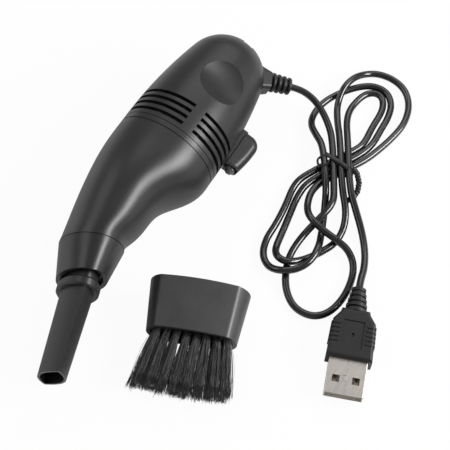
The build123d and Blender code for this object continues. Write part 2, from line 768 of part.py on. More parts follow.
def motor_mount():
    front = MOUNT_REAR + MOUNT_THICKNESS
    plate = disc(body_radius(MOUNT_REAR) - WALL - MOUNT_EDGE, MOUNT_REAR, front)
    return plate - disc(BUSH_HOUSING, MOUNT_REAR - 1, front + 1)


def impeller():
    hub = disc(HUB_RADIUS, FAN_REAR, FAN_REAR + HUB_LENGTH)
    wheel = hub + disc(FAN_RADIUS, FAN_REAR, FAN_REAR + FAN_PLATE)
    for blade in range(FAN_BLADES):
        plate = block(
            (FAN_REAR + FAN_PLATE / 2, FAN_REAR + FAN_DEPTH),
            both_ways(BLADE_THICKNESS / 2),
            (0, FAN_RADIUS - BLADE_START),
        )
        swept = Pos(0, 0, BLADE_START) * Rot(BLADE_SWEEP, 0, 0) * plate
        wheel += (Rot(360 / FAN_BLADES * blade, 0, 0) * swept) & disc(FAN_RADIUS, FAN_REAR, FAN_REAR + FAN_DEPTH)
    return wheel - disc(SHAFT_RADIUS + SEAT, FAN_REAR - 1, FAN_REAR + HUB_LENGTH + 1)


def fan_shroud():
    """The plate in front of the fan, seated inside the lip, with the eye that the air enters by."""
    front = SEAM + SEAM_GAP
    rear = FAN_REAR + FAN_DEPTH + SHROUD_GAP
    outer = BODY_RADIUS - CHAMBER_WALL - SLIP - LIP_WALL - SEAT
    plate = disc(outer, rear, rear + SHROUD_THICKNESS) + (
        disc(outer, rear, front + SHROUD_LEDGE) - disc(outer - SHROUD_THICKNESS, rear - 1, front + 5)
    )
    return plate - disc(EYE_RADIUS, rear - 1, front + 5)


# Lamp

def hood_outline():
    """The pod's side view: straight ends and foot under a smooth crown."""
    rear, top, front = HOOD_CROWN
    edges = [
        TangentArc(rear, top, tangent=(0, 1)),
        TangentArc(top, front, tangent=(1, 0)),
        Line(front, (HOOD_FRONT, HOOD_FOOT)),
        Line((HOOD_FRONT, HOOD_FOOT), (HOOD_REAR, HOOD_FOOT)),
        Line((HOOD_REAR, HOOD_FOOT), rear),
    ]
    return make_face(Wire(edges))


def lamp_hood():
    hood = extrude(Plane.XY.offset(-HOOD_HALF) * hood_outline(), amount=2 * HOOD_HALF)
    rims = hood.edges().filter_by(lambda e: abs(abs(e.center().Z) - HOOD_HALF) < 0.01)
    rims = [e for e in rims if e.center().Y > HOOD_FOOT + 0.1 and e.center().X < HOOD_FRONT - 0.1]
    hood = fillet(rims, HOOD_EDGE)
    along, across, half = HOOD_NECK
    hood += block(along, across, both_ways(half))
    hood -= housing_solid(-HOOD_GAP)
    for along, across, half in HOOD_ROOMS:
        hood -= block(along, across, both_ways(half))
    lamp_axis = Plane(origin=(0, LAMP_V, 0), x_dir=(0, 0, 1), z_dir=(1, 0, 0))
    hood -= rod(lamp_axis, LAMP_RADIUS + SEAT, LAMP_BACK - 1, 10)
    radius, depth = HOOD_MOUTH
    hood -= rod(lamp_axis, radius, depth, 10)
    return hood - rod(lamp_axis, LAMP_FLANGE + SEAT, LAMP_BACK - 1, LAMP_BACK + LAMP_FLANGE_LENGTH)


def lamp_led():
    axis = Plane(origin=(0, LAMP_V, 0), x_dir=(0, 0, 1), z_dir=(1, 0, 0))
    body = rod(axis, LAMP_RADIUS, LAMP_BACK, LAMP_FRONT)
    body += Pos(LAMP_FRONT, LAMP_V, 0) * Sphere(LAMP_RADIUS)
    return body + rod(axis, LAMP_FLANGE, LAMP_BACK, LAMP_BACK + LAMP_FLANGE_LENGTH)


def tube(points, radius):
    """A round tube along straight runs and tangent arcs."""
    radii = corner_radii(points)
    line = FilletPolyline(*points, radius=radii)
    start = Plane(origin=points[0], z_dir=Vector(*points[1]) - Vector(*points[0]))
    return sweep(start * Circle(radius), path=line)


def corner_radii(points):
    """Each corner's arc is as large as its two runs allow."""
    spots = [Vector(*p) for p in points]
    radii = []
    for before, here, after in zip(spots, spots[1:], spots[2:]):
        turn = radians((here - before).get_angle(after - here))
        shorter = min((here - before).length, (after - here).length)
        radii.append(RUN_SHARE * shorter / tan(turn / 2))
    return radii


def lamp_wires():
    wires = []
    for index in (0, 1):
        side = index - 0.5
        drop = WIRE_DROP + WIRE_SPACING * side
        v, w = around(WIRE_RUN, WIRE_ANGLES[index])
        end_v, end_w = around(WIRE_END, WIRE_ANGLES[index])
        turn_in = CRADLE_PLACES[0] - 1.0
        points = [
            (LAMP_BACK, LAMP_V, WIRE_SPACING * side),
            (drop + 1.8, LAMP_V, WIRE_SPACING * side),
            (drop, LAMP_V - 2.2, WIRE_HOLE_W - 0.2),
            (drop, BODY_RADIUS - WALL - 1.6, WIRE_HOLE_W + 0.3),
            (drop, v + 0.9, w - 1.1),
            (drop - 1.8, v, w),
            (turn_in, v, w + 0.05),
            (BOARD_FRONT + 1.2, end_v, end_w),
            (BOARD_FRONT, end_v, end_w),
        ]
        wires.append(tube(points, WIRE_RADIUS))
    return Compound(wires)


# Switch and board

def switch_box_place():
    rear = BOARD_FRONT - BOARD_THICKNESS - SWITCH_BOX[2]
    return rear, BOARD_FRONT - BOARD_THICKNESS


def knob_rest():
    return -KNOB[1] / 2 - SWITCH_TRAVEL / 2


def switch_slider():
    """A long thumb piece that follows the cap's curve, and the stem that works the switch."""
    half = KNOB[0] / 2
    low = knob_rest()
    middle = low + KNOB[1] / 2
    across = (SWITCH_V - half, SWITCH_V + half)
    knob = block((-40, KNOB_FOOT), across, (low, low + KNOB[1]))
    knob &= Pos(CAP_CENTRE, 0, middle) * Rot(90, 0, 0) * Cylinder(KNOB_ROUND, 4 * BODY_RADIUS)
    top = CAP_CENTRE - KNOB_ROUND
    for step in range(KNOB_RIBS):
        place = middle + (step - (KNOB_RIBS - 1) / 2) * KNOB_RIB_PITCH
        knob -= block((-40, top + KNOB_GROOVE), across, (place - 0.25, place + 0.25))
    rear, front = switch_box_place()
    stem = block(
        (KNOB_FOOT - 0.5, rear + SWITCH_BOX_WALL + 0.6),
        (SWITCH_V - STEM[0] / 2, SWITCH_V + STEM[0] / 2),
        (middle - STEM[1] / 2, middle + STEM[1] / 2),
    )
    return knob + stem


def switch_body():
    rear, front = switch_box_place()
    half_v, half_w = SWITCH_BOX[0] / 2, SWITCH_BOX[1] / 2
    box = block((rear, front), (SWITCH_V - half_v, SWITCH_V + half_v), both_ways(half_w))
    room_v = STEM[0] / 2 + SLIP / 2
    room_w = STEM[1] / 2 + SWITCH_TRAVEL / 2 + SLIP
    return box - block((rear - 1, rear + SWITCH_BOX_WALL + 0.7), (SWITCH_V - room_v, SWITCH_V + room_v), both_ways(room_w))


def circuit_board():
    rear = BOARD_FRONT - BOARD_THICKNESS
    board = disc(BOARD_RADIUS, rear, BOARD_FRONT)
    board -= block((rear - 1, BOARD_FRONT + 1), (-20, BOARD_CUT), (-20, 20))
    for turn in (0, 180):
        board -= Rot(turn, 0, 0) * tab(SEAT)
    return board


def supply_wires():
    """The cord's two cores, from the relief's root to the board."""
    plane = relief_plane()
    board = BOARD_FRONT - BOARD_THICKNESS
    wires = []
    for side in (-1, 1):
        start = plane.location.position + plane.z_dir * -RELIEF_ROOT
        bend = plane.location.position + plane.z_dir * (-RELIEF_ROOT - 0.9)
        out = side * 0.8
        points = [(start.X, start.Y, out), (bend.X, bend.Y, out), (board, bend.Y + 0.05, out)]
        wires.append(tube(points, WIRE_RADIUS * 0.9))
    return Compound(wires)


# Strain relief

def relief_ring(plane, radius, middle):
    ring = rod(plane, radius, middle - RELIEF_RING_WIDTH / 2, middle + RELIEF_RING_WIDTH / 2)
    return fillet(ring.edges().filter_by(GeomType.CIRCLE), RELIEF_RING_WIDTH * 0.35)


def strain_relief():
    plane = relief_plane()
    aside = Pos(0, RELIEF_BOOT_SHIFT, 0) * Rot(0, 0, 90)
    base = plane.offset(-1.6) * aside * RectangleRounded(*RELIEF_BOOT_BASE, RELIEF_CORNER)
    top = plane.offset(RELIEF_BOOT_END) * aside * RectangleRounded(*RELIEF_BOOT_TOP, RELIEF_CORNER)
    boot = loft([base, top]) - housing_solid(-HOOD_GAP)
    relief = boot + relief_root(0) + rod(plane, RELIEF_CORE, 0, RELIEF_END)
    for ring in range(RELIEF_RINGS):
        share = ring / (RELIEF_RINGS - 1)
        radius = RELIEF_RING_RADII[0] + share * (RELIEF_RING_RADII[1] - RELIEF_RING_RADII[0])
        relief += relief_ring(plane, radius, RELIEF_BOOT_END + 1.3 + ring * RELIEF_RING_PITCH)
    return relief


# Cord

def relief_exit():
    """Where the cord leaves the relief and which way, on the table."""
    plane = relief_plane()
    tip = plane.location.position + plane.z_dir * RELIEF_END
    roll = radians(-BODY_ROLL)
    place = Vector(tip.X, tip.Y * cos(roll), BODY_RADIUS + LIFT + tip.Y * sin(roll))
    way = Vector(plane.z_dir.X, plane.z_dir.Y * cos(roll), plane.z_dir.Y * sin(roll))
    return place, way


def heading(angle):
    return Vector(cos(radians(angle)), sin(radians(angle)), 0)


def strand_end(sheet, place, end):
    """Where a strand of one of the two sheets leaves the waist."""
    turn = STRAND_TURN if sheet == "over" else -STRAND_TURN
    count = OVER_STRANDS if sheet == "over" else UNDER_STRANDS
    height = SHEET_HIGH if sheet == "over" else SHEET_LOW
    offset = (place - (count - 1) / 2) * STRAND_PITCH
    spot = Vector(WAIST_X, WAIST_Y, height) + heading(turn) * (end * STRAND_HALF)
    return spot + heading(turn + 90) * offset


def loop_points(side, x, y, radius, corners, leaves, joins, over):
    """A loop out of the waist, round a circle in equal turns, and back into the waist."""
    far = side == "nozzle side"
    end, way = (1, -1) if far else (-1, 1)
    start = strand_end("over" if far else "under", leaves, end)
    stop = strand_end("under" if far else "over", joins, end)
    centre = Vector(x, y, 0)

    def tangent(spot, sign):
        away = hypot(x - spot.X, y - spot.Y)
        return degrees(atan2(y - spot.Y, x - spot.X)) + sign * degrees(asin(radius / away))

    out = tangent(start, -way)
    back = tangent(stop, way) + 180
    step = ((way * (back - out)) % 360) / corners
    points = [start]
    for corner in range(corners):
        angle = out + way * ((corner + 0.5) * step - 90)
        left = corners - corner
        height = TABLE
        if over and left <= 3:
            height = OVER_LOOPS if left <= 2 else (TABLE + OVER_LOOPS) / 2
        points.append(centre + heading(angle) * (radius / cos(radians(step / 2))) + Vector(0, 0, height))
    points.append(stop)
    return points


def hank_points():
    """All strands in order: where one loop ends, the next one starts across the waist."""
    points = [strand_end("over", 0, -1)]
    for loop in LOOPS:
        points += loop_points(*loop)
    points.append(strand_end("over", OVER_STRANDS - 1, 1))
    return points


def lead_points():
    exit_place, exit_way = relief_exit()
    second = exit_place + exit_way * (1.5 * CORD)
    straight = strand_end("over", 0, -1)
    last = straight - heading(STRAND_TURN) * CORD
    return [exit_place, second] + [Vector(*p) for p in LEAD_POINTS] + [last, straight]


def plug_plane():
    turn = heading(PLUG_TURN)
    return Plane(origin=(PLUG_X, PLUG_Y, PLUG_Z), x_dir=heading(PLUG_TURN + 90), z_dir=turn)


def tail_points():
    straight = strand_end("over", OVER_STRANDS - 1, 1)
    first = straight + heading(STRAND_TURN) * CORD
    plug = Vector(PLUG_X, PLUG_Y, PLUG_Z)
    return [straight, first] + [Vector(*p) for p in TAIL_POINTS] + [plug - heading(PLUG_TURN) * CORD * 1.2, plug]


def spots_along(points, step):
    """Points on the runs and arcs of a tube's path, to measure it."""
    path = FilletPolyline(*points, radius=corner_radii(points))
    count = int(path.length / step)
    return [path.position_at(index / count) for index in range(count + 1)], path.length


def least_gap(spots, step, skip):
    """Least gap between stretches of the cord that lie further apart along it than skip."""
    cell = 2 * CORD
    cells = {}
    for index, spot in enumerate(spots):
        key = (int(spot.X // cell), int(spot.Y // cell), int(spot.Z // cell))
        cells.setdefault(key, []).append(index)
    best = 10 * CORD
    for index, spot in enumerate(spots):
        base = (int(spot.X // cell), int(spot.Y // cell), int(spot.Z // cell))
        for dx in (-1, 0, 1):
            for dy in (-1, 0, 1):
                for dz in (-1, 0, 1):
                    for other in cells.get((base[0] + dx, base[1] + dy, base[2] + dz), []):
                        if (other - index) * step > skip:
                            best = min(best, (spots[other] - spot).length)
    return best - CORD


def cord_report(name, points, shape):
    radii = corner_radii(points)
    spots, length = spots_along(points, 0.5)
    section = pi * (CORD / 2) ** 2
    print(name, "radii", [round(r, 1) for r in radii])
    print(name, "length %.1f volume %.2f section x length %.2f" % (length, shape.volume, section * length))
    print(name, "least gap to itself %.2f" % least_gap(spots, 0.5, 3.5 * CORD))


# Twist tie

def twist_tie():
    half_y = ((OVER_STRANDS - 1) / 2 * STRAND_PITCH + CORD / 2) / cos(radians(STRAND_TURN)) + TIE_ROOM
    half_y += TIE_WIDTH / 2 * tan(radians(STRAND_TURN))
    low = SHEET_LOW - CORD / 2 - TIE_ROOM
    high = SHEET_HIGH + CORD / 2 + TIE_ROOM
    plane = Plane(origin=(WAIST_X, WAIST_Y, (low + high) / 2), x_dir=(0, 1, 0), z_dir=(1, 0, 0))
    tall = high - low
    outer = RectangleRounded(2 * (half_y + TIE_WIRE), tall + 2 * TIE_WIRE, tall / 2)
    inner = RectangleRounded(2 * half_y, tall, tall / 2 - TIE_WIRE)
    band = extrude(plane.offset(-TIE_WIDTH / 2) * (outer - inner), amount=TIE_WIDTH)
    points = [Vector(WAIST_X, WAIST_Y, 0) + Vector(*p) for p in TIE_TAIL]
    points[0] = Vector(WAIST_X, WAIST_Y + half_y + TIE_WIRE / 2, (low + high) / 2)
    return band + tube([tuple(p) for p in points], TIE_TAIL_RADIUS)


# Plug

def plug_block(along, across, up):
    """A box in the plug's own axes: along it, across it, and up from its middle."""
    size = (up[1] - up[0], across[1] - across[0], along[1] - along[0])
    plane = Plane(origin=(PLUG_X, PLUG_Y, PLUG_Z), x_dir=(0, 0, 1), z_dir=heading(PLUG_TURN))
    corner = (Align.MIN, Align.MIN, Align.MIN)
    return plane.offset(along[0]) * Pos(up[0], across[0], 0) * Box(*size, align=corner)


def grip_form(grow):
    """The grip, or the same shape a little larger for its ribs."""
    upper = [(x, y + grow) for x, y in GRIP_OUTLINE]
    outline = upper + [(x, -y) for x, y in reversed(upper)]
    half = GRIP_THICKNESS / 2 + grow
    table = Plane(origin=(PLUG_X, PLUG_Y, PLUG_Z - half), x_dir=heading(PLUG_TURN), z_dir=(0, 0, 1))
    grip = extrude(table * make_face(Polyline(*outline, close=True)), amount=2 * half)
    rims = [e for e in grip.edges() if abs(abs(e.center().Z - PLUG_Z) - half) < 0.01]
    return fillet(rims, GRIP_EDGE + grow)


def plug_overmould():
    plane = plug_plane()
    grip = grip_form(0)
    core = loft([plane * Circle(PLUG_RELIEF_CORE), plane.offset(PLUG_RELIEF + 1) * Circle(PLUG_RELIEF_RADII[1] - 0.6)])
    body = grip + core
    pitch = (PLUG_RELIEF - PLUG_RELIEF_RING) / (PLUG_RELIEF_RINGS - 1)
    for ring in range(PLUG_RELIEF_RINGS):
        share = ring / (PLUG_RELIEF_RINGS - 1)
        radius = PLUG_RELIEF_RADII[0] + share * (PLUG_RELIEF_RADII[1] - PLUG_RELIEF_RADII[0])
        body += rod(plane, radius, ring * pitch, ring * pitch + PLUG_RELIEF_RING)
    top = GRIP_THICKNESS / 2
    start, end, width = GRIP_PANEL
    for sign in (-1, 1):
        low, high = sorted((sign * (top - GRIP_PANEL_DEPTH), sign * (top + 1)))
        body -= plug_block((start, end), both_ways(width / 2), (low, high))
    place, size = GRIP_DIMPLE
    floor = heading(PLUG_TURN) * place + Vector(PLUG_X, PLUG_Y, PLUG_Z + top - GRIP_PANEL_DEPTH)
    body -= Pos(floor.X, floor.Y, floor.Z) * Sphere(size)
    ribbed = grip_form(GRIP_RIB[1])
    for rib_index in range(GRIP_RIBS):
        place = GRIP_RIB_START + rib_index * GRIP_RIB_PITCH
        for side in (-1, 1):
            low, high = sorted((side * GRIP_RIB_SIDE, side * SHELL_WIDTH))
            body += plug_block((place, place + GRIP_RIB[0]), (low, high), (-1.0, top + 1)) & ribbed
    shell_start = GRIP_OUTLINE[-1][0] - SHELL_IN
    half_w, half_h = SHELL_WIDTH / 2 + SEAT, SHELL_HEIGHT / 2 + SEAT
    return body - plug_block((shell_start, GRIP_OUTLINE[-1][0] + 5), both_ways(half_w), both_ways(half_h))


def shell_span():
    return GRIP_OUTLINE[-1][0] - SHELL_IN + SEAT, GRIP_OUTLINE[-1][0] + SHELL_OUT


def plug_shell():
    start, end = shell_span()
    half_w, half_h = SHELL_WIDTH / 2, SHELL_HEIGHT / 2
    outer = plug_block((start, end), both_ways(half_w), both_ways(half_h))
    along = [e for e in outer.edges() if abs(abs(e.tangent_at(0).dot(heading(PLUG_TURN))) - 1) < 0.01]
    outer = fillet(along, SHELL_SHEET)
    inner = plug_block(
        (start + SHELL_SHEET, end + 1), both_ways(half_w - SHELL_SHEET), both_ways(half_h - SHELL_SHEET))
    shell = outer - inner
    for side in (-1, 1):
        middle = side * SHELL_WINDOW_SIDE
        across = (middle - SHELL_WINDOW / 2, middle + SHELL_WINDOW / 2)
        along = (SHELL_WINDOW_PLACE, SHELL_WINDOW_PLACE + SHELL_WINDOW)
        shell -= plug_block(along, across, both_ways(SHELL_HEIGHT))
    start, end, aside = SEAM_JOG
    half = SEAM_WIDTH / 2
    depth = (SHELL_HEIGHT / 2 - SEAM_DEPTH, SHELL_HEIGHT)
    rear, front = shell_span()
    runs = [
        ((rear + SHELL_IN, start + half), both_ways(half)),
        ((start - half, start + half), (-half, aside + half)),
        ((start - half, end + half), (aside - half, aside + half)),
        ((end - half, end + half), (-half, aside + half)),
        ((end - half, front + 1), both_ways(half)),
    ]
    for along, across in runs:
        shell -= plug_block(along, across, depth)
    return shell


def tongue_span():
    start, end = shell_span()
    return start + SHELL_SHEET + SEAT, end - TONGUE_SET_BACK


def plug_tongue():
    half = SHELL_WIDTH / 2 - SHELL_SHEET - SEAT
    low = -SHELL_HEIGHT / 2 + SHELL_SHEET + SEAT
    return plug_block(tongue_span(), both_ways(half), (low, low + TONGUE_THICKNESS))


def plug_contacts():
    top = -SHELL_HEIGHT / 2 + SHELL_SHEET + SEAT + TONGUE_THICKNESS
    end = tongue_span()[1] - 0.6
    length, width, thick = CONTACT_SIZE
    strips = []
    for contact in range(CONTACTS):
        middle = (contact - (CONTACTS - 1) / 2) * CONTACT_PITCH
        across = (middle - width / 2, middle + width / 2)
        strips.append(plug_block((end - length, end), across, (top, top + thick)))
    return Compound(strips)


# Brush head

def brush_plane(along):
    """A plane across the brush head; its middle sinks as the cap narrows."""
    spot = Vector(BRUSH_X, BRUSH_Y, 0) + heading(BRUSH_TURN) * along
    rim, front = BRUSH_RIM_HALF[1], BRUSH_FRONT_HALF[1]
    height = rim + (front - rim) * along / BRUSH_LENGTH_CAP
    return Plane(origin=(spot.X, spot.Y, height), x_dir=heading(BRUSH_TURN + 90), z_dir=heading(BRUSH_TURN))


def brush_half(along):
    share = along / BRUSH_LENGTH_CAP
    return [a + (b - a) * share for a, b in zip(BRUSH_RIM_HALF, BRUSH_FRONT_HALF)]


def four_arcs(half, inset):
    """An oval of four arcs with rounded corners."""
    wide, tall = half[0] - inset, half[1] - inset
    corner_x, corner_y = wide - 0.45 * tall, 0.84 * tall
    edges = [
        ThreePointArc((-corner_x, corner_y), (0, tall), (corner_x, corner_y)),
        ThreePointArc((corner_x, corner_y), (wide, 0), (corner_x, -corner_y)),
        ThreePointArc((corner_x, -corner_y), (0, -tall), (-corner_x, -corner_y)),
        ThreePointArc((-corner_x, -corner_y), (-wide, 0), (-corner_x, corner_y)),
    ]
    face = make_face(Wire(edges))
    return fillet(face.vertices(), max(BRUSH_CORNER - inset, 0.8))


def brush_form(inset, start, end):
    return loft([
        brush_plane(start) * four_arcs(brush_half(start), inset),
        brush_plane(end) * four_arcs(brush_half(end), inset),
    ])


def air_slot_in_brush():
    width, height = BRUSH_AIR_SLOT
    middle = brush_plane(BRUSH_SOCKET - 1)
    return extrude(middle * RectangleRounded(width, height, height * 0.45), amount=BRUSH_LENGTH_CAP)


def brush_cap():
    cap = brush_form(0, 0, BRUSH_LENGTH_CAP)
    cap -= brush_form(BRUSH_WALL, -0.01, BRUSH_SOCKET)
    cap -= brush_form(BRUSH_WALL, BRUSH_SOCKET + BRUSH_WEB, BRUSH_LENGTH_CAP + 0.01)
    return cap - air_slot_in_brush()


def block_span():
    start = BRUSH_SOCKET + BRUSH_WEB
    return start, start + BLOCK_LENGTH


def brush_block():
    start, end = block_span()
    return brush_form(BRUSH_WALL + SEAT, start + SEAT, end) - air_slot_in_brush()


def brush_bristles():
    """Two rows of tufts: strands that fan out from a thin bed on the block."""
    start = block_span()[1]
    bed_end = start + BRISTLE_BED
    bed = brush_form(BRUSH_WALL + 2 * SEAT, start, bed_end) - air_slot_in_brush()
    root = brush_plane(bed_end - BRISTLE_BED / 2)
    strands = []
    for row in (-1, 1):
        for tuft in range(TUFTS):
            across = (tuft - (TUFTS - 1) / 2) * TUFT_PITCH + row * TUFT_STAGGER
            strands += tuft_strands(root, across, row, row + 2 * tuft)
    return bed.fuse(*strands)


def tuft_strands(root, across, row, seed):
    strands = []
    for strand in range(TUFT_STRANDS):
        away = TUFT_RADIUS * sqrt((strand + 0.5) / TUFT_STRANDS)
        angle = strand * pi * (3 - sqrt(5)) + seed
        x, y = away * cos(angle), away * sin(angle)
        uneven = STRAND_UNEVEN * sin(7.3 * strand + 2.1 * seed)
        foot = (across + x, row * TUFT_ROW + y, 0)
        tip_x = across * FAN_OUT + FAN_SHIFT + x * TUFT_SPREAD
        tip_y = row * ROW_TIP - ROW_SINK + y * TUFT_SPREAD
        way = Vector(tip_x - foot[0], tip_y - foot[1], BRISTLE_LENGTH + uneven)
        face = root * Pos(*foot) * Rectangle(STRAND_SIZE, STRAND_SIZE)
        line = root.x_dir * way.X + root.y_dir * way.Y + root.z_dir * way.Z
        strands.append(extrude(face, amount=line.length, dir=line).solid())
    return strands


def write(name, shape):
    export_step(shape, "parts/%s.step" % name)
    print(name, len(shape.solids()), "volume %.1f" % shape.volume)


# Body
upper, lower = housing_halves()
lying = {
    "housing_upper": upper,
    "housing_lower": lower,
    "housing_screws": housing_screws(),
    "dust_chamber": dust_chamber(),
    "nose_cone": nose_cone(),
    "crevice_nozzle": crevice_nozzle(),
    "filter_frame": filter_frame(),
    "filter_cloth": filter_cloth(),
    "fan_shroud": fan_shroud(),
    "impeller": impeller(),
    "motor_can": motor_can(),
    "motor_end_cap": motor_end_cap(),
    "motor_terminals": motor_terminals(),
    "motor_brushes": motor_brushes(),
    "motor_magnets": motor_magnets(),
    "motor_shaft": motor_shaft(),
    "motor_mount": motor_mount(),
    "front_bush": front_bush(),
    "rear_bush": rear_bush(),
    "rotor_core": rotor_core(),
    "rotor_windings": rotor_windings(),
    "commutator": commutator(),
    "lamp_hood": lamp_hood(),
    "lamp_led": lamp_led(),
    "lamp_wires": lamp_wires(),
    "switch_slider": switch_slider(),
    "switch_body": switch_body(),
    "circuit_board": circuit_board(),
    "supply_wires": supply_wires(),
    "strain_relief": strain_relief(),
}
for name, shape in lying.items():
    write(name, laid(shape))

# Cord, plug and brush head
routes = {"cord_lead": lead_points(), "cord_hank": hank_points(), "cord_tail": tail_points()}
for name, points in routes.items():
    cord = tube(points, CORD / 2)
    cord_report(name, points, cord)
    write(name, flat(cord))
loose = {
    "twist_tie": twist_tie(),
    "plug_overmould": plug_overmould(),
    "plug_shell": plug_shell(),
    "plug_tongue": plug_tongue(),
    "plug_contacts": plug_contacts(),
    "brush_cap": brush_cap(),
    "brush_block": brush_block(),
    "brush_bristles": brush_bristles(),
}
for name, shape in loose.items():
    write(name, flat(shape))
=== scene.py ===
from math import cos, pi, radians, sin, sqrt
from random import Random

import bpy
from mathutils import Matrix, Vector


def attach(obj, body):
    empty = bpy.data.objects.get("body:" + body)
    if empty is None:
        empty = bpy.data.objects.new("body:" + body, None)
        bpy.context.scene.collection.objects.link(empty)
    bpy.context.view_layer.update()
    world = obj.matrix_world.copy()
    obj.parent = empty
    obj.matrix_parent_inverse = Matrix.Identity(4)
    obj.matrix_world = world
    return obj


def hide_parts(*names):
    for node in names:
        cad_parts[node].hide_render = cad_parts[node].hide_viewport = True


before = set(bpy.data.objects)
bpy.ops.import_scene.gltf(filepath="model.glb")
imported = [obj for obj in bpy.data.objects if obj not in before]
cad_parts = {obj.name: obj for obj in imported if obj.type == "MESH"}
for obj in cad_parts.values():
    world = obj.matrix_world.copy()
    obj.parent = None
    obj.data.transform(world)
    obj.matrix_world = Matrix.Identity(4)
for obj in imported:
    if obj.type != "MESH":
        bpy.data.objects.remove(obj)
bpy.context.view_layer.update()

MM = 0.001
# The layout's middle on the table in millimetres, taken off every place that at() gets
MIDDLE = Vector((27.39, 20.91, 0.0))


def at(x, y, z):
    """A place given in the layout's millimetres, in the frame's metres."""
    return (Vector((x, y, z)) - MIDDLE) * MM


def heading(angle):
    return Vector((cos(radians(angle)), sin(radians(angle)), 0.0))


# Camera
LENS = 85.0
SENSOR = 36.0
EYE = at(157.34, 110.59, 313.37)
AIM = at(16.37, 25.50, 0.0)


def put_camera():
    data = bpy.data.cameras.new("camera")
    data.lens = LENS
    data.sensor_width = SENSOR
    camera = bpy.data.objects.new("camera", data)
    bpy.context.scene.collection.objects.link(camera)
    camera.location = EYE
    camera.rotation_euler = (AIM - EYE).to_track_quat("-Z", "Y").to_euler()
    bpy.context.scene.camera = camera


put_camera()


# Shader values and finishes

class Value:
    """An output in a node tree. Sums and products of values add Math nodes."""

    def __init__(self, nodes, socket):
        self.nodes = nodes
        self.socket = socket

    def math(self, operation, *terms):
        inputs = dict(enumerate(terms))
        return self.nodes.node("ShaderNodeMath", {"operation": operation}, inputs)

    def most(self, other):
        return self.math("MAXIMUM", self, other)

    def __add__(self, other):
        return self.math("ADD", self, other)

    def __radd__(self, other):
        return self.math("ADD", other, self)

    def __mul__(self, other):
        return self.math("MULTIPLY", self, other)

    def sine(self):
        return self.math("SINE", self)


class Nodes:
    """The emptied node tree of a material or a world."""

    def __init__(self, owner):
        owner.use_nodes = True
        self.tree = owner.node_tree
        self.tree.nodes.clear()

    def node(self, kind, settings=None, inputs=None, output=0):
        """Any node: its settings first, then the values or links of its sockets."""
        node = self.tree.nodes.new(kind)
        for name, value in (settings or {}).items():
            if name == "stops":
                self.set_stops(node.color_ramp, value)
            else:
                setattr(node, name, value)
        for name, value in (inputs or {}).items():
            self.plug(node.inputs[name], value)
        return Value(self, node.outputs[output]) if node.outputs else None

    def set_stops(self, ramp, stops):
        for index, (place, tone) in enumerate(stops):
            stop = ramp.elements[index] if index < 2 else ramp.elements.new(place)
            stop.position = place
            stop.color = colour(tone)

    def plug(self, socket, value):
        if isinstance(value, Value):
            self.tree.links.new(value.socket, socket)
        else:
            socket.default_value = value


class Finish(Nodes):
    """A material with one Principled shader, built from values."""

    def __init__(self, name, **constants):
        self.material = bpy.data.materials.new(name)
        super().__init__(self.material)
        shader = self.node("ShaderNodeBsdfPrincipled")
        self.shader = shader.socket.node
        self.node("ShaderNodeOutputMaterial", inputs={"Surface": shader})
        self.place = self.node("ShaderNodeTexCoord", output="Object")
        for name, value in constants.items():
            self.shader.inputs[name.replace("_", " ")].default_value = value

    def feed(self, **values):
        for name, value in values.items():
            self.plug(self.shader.inputs[name.replace("_", " ")], value)

    def noise(self, size, detail=3.0, roughness=0.55, stretch=(1.0, 1.0, 1.0)):
        """Noise whose blotches are about size metres across."""
        place = self.node("ShaderNodeVectorMath", {"operation": "MULTIPLY"}, {0: self.place, 1: stretch})
        return self.node(
            "ShaderNodeTexNoise",
            inputs={"Vector": place, "Scale": 1.0 / size, "Detail": detail, "Roughness": roughness},
        )

    def ramp(self, factor, *stops):
        return self.node("ShaderNodeValToRGB", {"stops": stops}, {"Fac": factor})

    def bump(self, height, depth):
        """A normal from a height of 0 to 1, depth metres deep."""
        self.feed(Normal=self.node("ShaderNodeBump", inputs={"Height": height, "Distance": depth}, output="Normal"))


def colour(tone):
    """A grey, or a colour of three values, with full alpha."""
    parts = (tone,) * 3 if isinstance(tone, float) else tone
    return (*parts, 1.0)


def moulded(name, tone, gloss, grain=12e-6, mottle=0.16, **constants):
    """Moulded plastic or rubber: a spark-eroded grain, soft blotches and faint handling marks."""
    finish = Finish(name, **constants)
    blotch = finish.noise(7 * MM, 4.0, 0.6)
    speck = finish.noise(0.5 * MM, 2.0)
    smear = finish.noise(3 * MM, 3.0, 0.6, (0.35, 1.0, 1.0))
    shade = blotch * 0.7 + speck * 0.3
    dark = [c * (1 - mottle) for c in colour(tone)[:3]]
    light = [c * (1 + mottle) for c in colour(tone)[:3]]
    finish.feed(Base_Color=finish.ramp(shade, (0.3, dark), (0.7, light)))
    finish.feed(Roughness=gloss - 0.07 + smear * 0.1 + speck * 0.04)
    fine = finish.noise(0.22 * MM, 2.0, 0.6)
    finish.bump(fine * 0.8 + speck * 0.2, grain)
    return finish.material


def metal(name, tone, gloss, streak=(0.06, 1.0, 1.0)):
    """Rolled or turned metal with streaks along one way."""
    finish = Finish(name, Metallic=1.0)
    lines = finish.noise(0.5 * MM, 4.0, 0.65, streak)
    cloud = finish.noise(5 * MM, 3.0)
    dark = [c * 0.8 for c in colour(tone)[:3]]
    finish.feed(Base_Color=finish.ramp(lines * 0.6 + cloud * 0.4, (0.3, dark), (0.7, tone)))
    finish.feed(Roughness=gloss - 0.06 + lines * 0.14)
    finish.bump(lines, 6e-6)
    return finish.material


